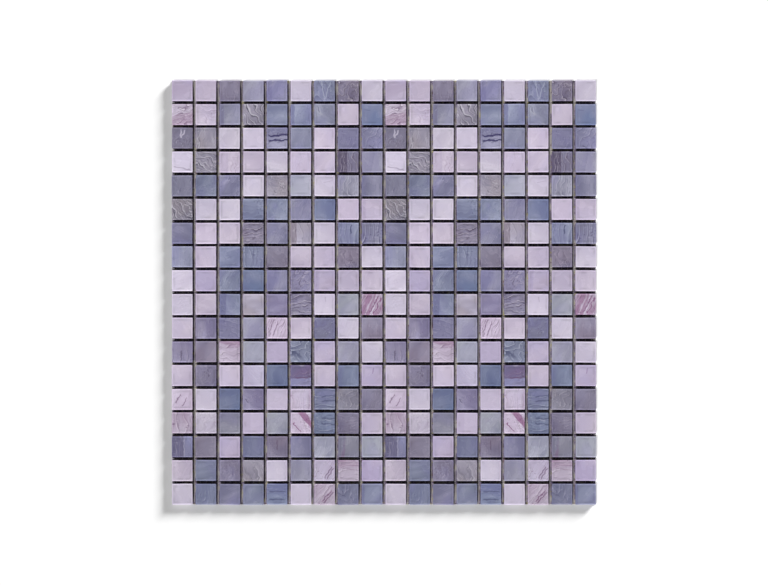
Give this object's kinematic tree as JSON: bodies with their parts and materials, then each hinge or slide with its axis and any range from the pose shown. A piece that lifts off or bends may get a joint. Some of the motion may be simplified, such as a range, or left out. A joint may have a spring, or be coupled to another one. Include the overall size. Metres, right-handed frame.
{
  "type": "mosaic tile sheet",
  "caption": "Flat square sheet of small square glass tesserae laid in a blend of lilac, grey and blue on a backing mesh, with open joints between them, for tiling a wall or floor.",
  "frame": {"origin": "centre of the sheet on the plane that it lies on, the underside of the mesh", "axes": "+X along the courses, +Y up the sheet, +Z out of the glass show face"},
  "size_m": [0.3052, 0.3052, 0.0044],
  "materials": {
    "pearl_glass": "gloss",
    "blush_glass": "gloss",
    "orchid_glass": "gloss",
    "rose_glass": "gloss",
    "mist_glass": "gloss",
    "dove_glass": "gloss",
    "pewter_glass": "gloss",
    "slate_glass": "gloss",
    "denim_glass": "gloss",
    "iris_glass": "gloss",
    "heather_glass": "gloss",
    "plum_glass": "gloss",
    "mesh_yarn": "matte"
  },
  "bodies": {
    "root": {"pearl_tesserae": "pearl_glass", "blush_tesserae": "blush_glass", "orchid_tesserae": "orchid_glass", "rose_tesserae": "rose_glass", "mist_tesserae": "mist_glass", "dove_tesserae": "dove_glass", "pewter_tesserae": "pewter_glass", "slate_tesserae": "slate_glass", "denim_tesserae": "denim_glass", "iris_tesserae": "iris_glass", "heather_tesserae": "heather_glass", "plum_tesserae": "plum_glass", "mesh_weft_yarns": "mesh_yarn", "mesh_warp_yarns": "mesh_yarn"}
  },
  "joints": []
}
